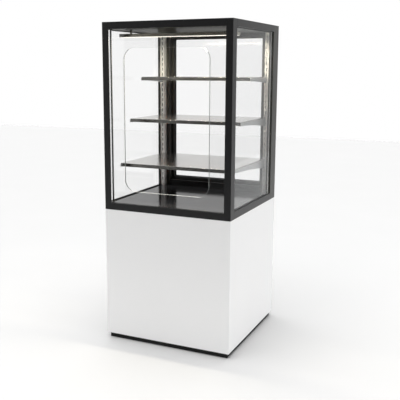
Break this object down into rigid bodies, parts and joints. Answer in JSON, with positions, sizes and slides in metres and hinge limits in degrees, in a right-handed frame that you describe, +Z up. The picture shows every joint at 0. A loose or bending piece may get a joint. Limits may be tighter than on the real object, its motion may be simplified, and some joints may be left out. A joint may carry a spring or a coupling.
{
  "type": "heated display case",
  "caption": "Free-standing heated display case: glass case with light bar, stepped shelves, open serving cut-out and hinged rear door on a sheet-metal pedestal.",
  "frame": {"origin": "on the floor, at the centre of the footprint", "axes": "+X to the customer's right, -Y towards the customer, +Z up"},
  "size_m": [0.6, 0.6, 1.422],
  "materials": {
    "white_paint": "smooth white powder coat",
    "black_frame": "satin black powder coat",
    "black_sheet": "satin black powder coat",
    "black_plinth": "matt black",
    "zinc_sheet": "galvanised sheet",
    "clear_glass": "clear toughened glass, polished edges",
    "black_glass": "glossy black glass",
    "stainless": "bright brushed stainless steel",
    "black_rubber": "soft black rubber",
    "heater_silicone": "silicone heater mat",
    "milky_diffuser": "milky light diffuser",
    "led_board": "white circuit strip",
    "black_plastic": "fine-textured black plastic",
    "display_lens": "dark smoked lens",
    "grey_key": "grey keycap",
    "red_rocker": "translucent red rocker",
    "heat_sink": "raw extruded aluminium",
    "driver_case": "plain aluminium case",
    "foot_steel": "zinc-plated steel",
    "screw_steel": "blackened steel"
  },
  "bodies": {
    "cabinet": {"plinth": "black_plinth", "base_plate": "zinc_sheet", "pedestal_front_panel": "white_paint", "pedestal_left_panel": "white_paint", "pedestal_right_panel": "white_paint", "pedestal_rear_panel": "white_paint", "pedestal_top_plate": "zinc_sheet", "service_door_hinge_plates": "zinc_sheet", "control_panel": "black_sheet", "controller_body": "black_plastic", "controller_window": "display_lens", "switch_housings": "black_plastic", "power_inlet": "black_plastic", "relay": "heat_sink", "led_driver": "driver_case", "front_left_post": "black_frame", "front_right_post": "black_frame", "rear_left_post": "black_frame", "rear_right_post": "black_frame", "top_frame": "black_frame", "bottom_frame": "black_frame", "roof_panel": "black_frame", "ceiling_panel": "stainless", "screws": "screw_steel", "front_glass": "clear_glass", "left_glass": "clear_glass", "right_glass": "clear_glass", "side_glass_seals": "black_rubber", "deck_glass": "black_glass", "deck_heater_mat": "heater_silicone", "deck_tray": "zinc_sheet", "left_upright": "stainless", "right_upright": "stainless", "top_shelf": "stainless", "middle_shelf": "stainless", "lower_shelf": "stainless", "top_shelf_brackets": "stainless", "middle_shelf_brackets": "stainless", "lower_shelf_brackets": "stainless", "shelf_heater_foils": "heater_silicone", "light_bar_body": "stainless", "light_bar_diffuser": "milky_diffuser", "light_bar_strips": "led_board", "door_gasket": "black_rubber"},
    "rear_door": {"door_frame": "black_frame", "door_glass": "clear_glass", "door_pull": "black_plastic", "door_pivot_pins": "stainless"},
    "service_door": {"service_door": "white_paint", "service_door_pull": "black_plastic", "service_door_pins": "stainless"},
    "power_rocker": {"power_rocker": "red_rocker"},
    "light_rocker": {"light_rocker": "red_rocker"},
    "button_set": {"button_set": "grey_key"},
    "button_up": {"button_up": "grey_key"},
    "button_down": {"button_down": "grey_key"},
    "foot_front_left": {"foot_front_left": "foot_steel"},
    "foot_front_right": {"foot_front_right": "foot_steel"},
    "foot_rear_left": {"foot_rear_left": "foot_steel"},
    "foot_rear_right": {"foot_rear_right": "foot_steel"}
  },
  "joints": [
    {"name": "rear_door_hinge", "type": "hinge", "parent": "cabinet", "child": "rear_door", "pos_m": [-0.252, 0.2935, 1], "axis": [0, 0, 1], "range_deg": [0, 105]},
    {"name": "service_door_hinge", "type": "hinge", "parent": "cabinet", "child": "service_door", "pos_m": [-0.214, 0.2915, 0.27], "axis": [0, 0, 1], "range_deg": [0, 105]},
    {"name": "power_rocker_tilt", "type": "hinge", "parent": "cabinet", "child": "power_rocker", "pos_m": [0.022, 0.288, 0.5475], "axis": [1, 0, 0], "range_deg": [0, 16]},
    {"name": "light_rocker_tilt", "type": "hinge", "parent": "cabinet", "child": "light_rocker", "pos_m": [0.056, 0.288, 0.5475], "axis": [1, 0, 0], "range_deg": [0, 16]},
    {"name": "button_set_press", "type": "slide", "parent": "cabinet", "child": "button_set", "axis": [0, -1, 0], "range_m": [0, 0.0008], "stiffness_N_per_m": 400, "springref_m": -0.0005},
    {"name": "button_up_press", "type": "slide", "parent": "cabinet", "child": "button_up", "axis": [0, -1, 0], "range_m": [0, 0.0008], "stiffness_N_per_m": 400, "springref_m": -0.0005},
    {"name": "button_down_press", "type": "slide", "parent": "cabinet", "child": "button_down", "axis": [0, -1, 0], "range_m": [0, 0.0008], "stiffness_N_per_m": 400, "springref_m": -0.0005},
    {"name": "foot_front_left_level", "type": "slide", "parent": "cabinet", "child": "foot_front_left", "axis": [0, 0, 1], "range_m": [-0.012, 0]},
    {"name": "foot_front_right_level", "type": "slide", "parent": "cabinet", "child": "foot_front_right", "axis": [0, 0, 1], "range_m": [-0.012, 0]},
    {"name": "foot_rear_left_level", "type": "slide", "parent": "cabinet", "child": "foot_rear_left", "axis": [0, 0, 1], "range_m": [-0.012, 0]},
    {"name": "foot_rear_right_level", "type": "slide", "parent": "cabinet", "child": "foot_rear_right", "axis": [0, 0, 1], "range_m": [-0.012, 0]}
  ]
}
